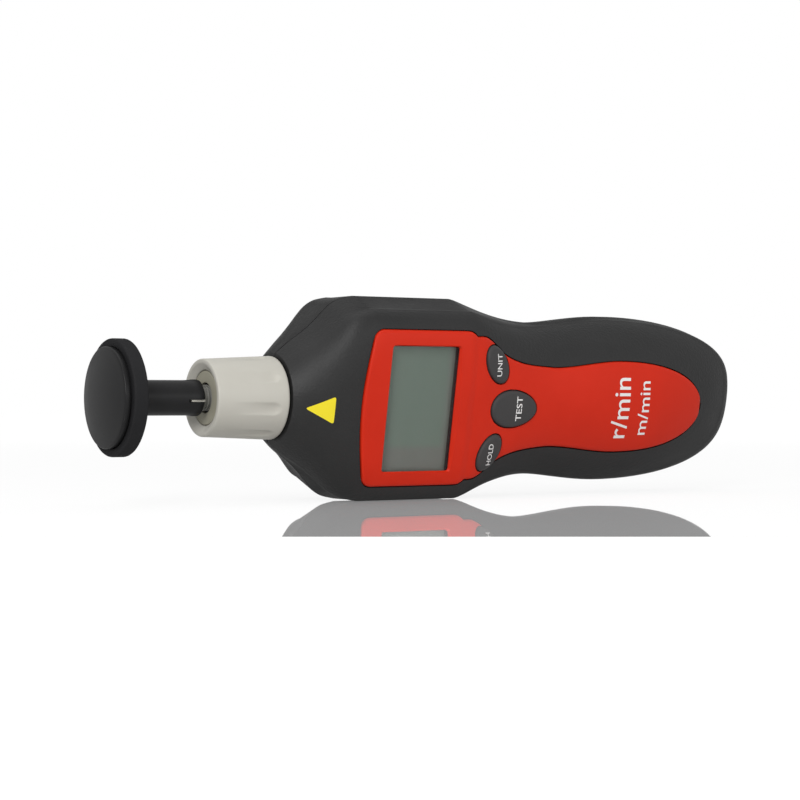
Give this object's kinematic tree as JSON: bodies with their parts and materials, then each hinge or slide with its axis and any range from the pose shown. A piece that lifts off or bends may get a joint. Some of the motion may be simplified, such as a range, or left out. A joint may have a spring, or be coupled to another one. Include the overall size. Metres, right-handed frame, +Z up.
{
  "type": "tachometer",
  "caption": "Hand-held tachometer with a red face panel, a display, press buttons, and a pull-off contact adapter that carries a surface-speed wheel.",
  "frame": {"origin": "on the flat side of the head that the instrument lies on, straight under the spindle's axis and at the middle of the head", "axes": "+X from the wheel towards the tail of the handle, -Y the way the display faces, +Z up"},
  "size_m": [0.2187, 0.0438, 0.0585],
  "materials": {
    "black_plastic": "soft-touch black plastic with a fine texture",
    "red_panel": "satin red plastic",
    "button_rubber": "matte dark grey rubber",
    "clear_window": "clear window",
    "display": "grey-green display with no figures",
    "white_plastic": "white carrier plastic",
    "board": "green board laminate",
    "dark_plastic": "satin black plastic",
    "wheel_rubber": "dark rubber",
    "hub_rubber": "grey rubber",
    "pale_plastic": "warm light grey satin plastic",
    "filter_glass": "dark red filter glass",
    "brass": "plain brass",
    "cell_jacket": "dark blue-grey metallic jacket",
    "steel": "bright steel"
  },
  "bodies": {
    "case": {"battery": "cell_jacket", "battery_connector": "dark_plastic", "battery_tray": "dark_plastic", "board_screw_1": "steel", "board_screw_2": "steel", "board_screw_3": "steel", "board_screw_4": "steel", "case_screw_1": "steel", "case_screw_2": "steel", "case_screw_3": "steel", "case_screw_4": "steel", "circuit_board": "board", "display_frame": "white_plastic", "display_glass": "display", "display_window": "clear_window", "face_panel": "red_panel", "front_case": "black_plastic", "laser_module": "brass", "light_sensor": "dark_plastic", "lower_switch": "dark_plastic", "measure_switch": "dark_plastic", "nose_tube": "dark_plastic", "optics_holder": "white_plastic", "rear_case": "black_plastic", "sensor_lens": "filter_glass", "upper_switch": "dark_plastic"},
    "door": {"battery_door": "black_plastic"},
    "adapter": {"adapter_housing": "pale_plastic", "adapter_face": "pale_plastic", "front_bearing_outer": "steel", "rear_bearing_outer": "steel", "bearing_spacer": "steel", "retaining_ring": "steel"},
    "spindle": {"spindle_shaft": "steel", "spindle_hub": "hub_rubber", "front_bearing_inner": "steel", "rear_bearing_inner": "steel", "front_bearing_balls": "steel", "rear_bearing_balls": "steel", "chopper_disc": "dark_plastic"},
    "contact_wheel": {"wheel": "dark_plastic", "wheel_tyre": "wheel_rubber"},
    "measure_key": {"measure_button": "button_rubber"},
    "upper_key": {"upper_button": "button_rubber"},
    "lower_key": {"lower_button": "button_rubber"}
  },
  "joints": [
    {"name": "door_lift", "type": "slide", "parent": "case", "child": "door", "axis": [0, 0.9833, 0.1822], "range_m": [0, 0.03]},
    {"name": "adapter_pull", "type": "slide", "parent": "case", "child": "adapter", "axis": [-1, 0, 0], "range_m": [0, 0.03]},
    {"name": "spindle_spin", "type": "hinge", "parent": "adapter", "child": "spindle", "pos_m": [-0.055, 0, 0.02901], "axis": [1, 0, 0], "continuous": true},
    {"name": "wheel_pull", "type": "slide", "parent": "spindle", "child": "contact_wheel", "axis": [-1, 0, 0], "range_m": [0, 0.012]},
    {"name": "measure_press", "type": "slide", "parent": "case", "child": "measure_key", "axis": [0, 0.9833, 0.1822], "range_m": [0, 0.0006], "stiffness_N_per_m": 800, "springref_m": -0.0008},
    {"name": "upper_press", "type": "slide", "parent": "case", "child": "upper_key", "axis": [0, 0.9833, 0.1822], "range_m": [0, 0.0006], "stiffness_N_per_m": 800, "springref_m": -0.0008},
    {"name": "lower_press", "type": "slide", "parent": "case", "child": "lower_key", "axis": [0, 0.9833, 0.1822], "range_m": [0, 0.0006], "stiffness_N_per_m": 800, "springref_m": -0.0008}
  ]
}
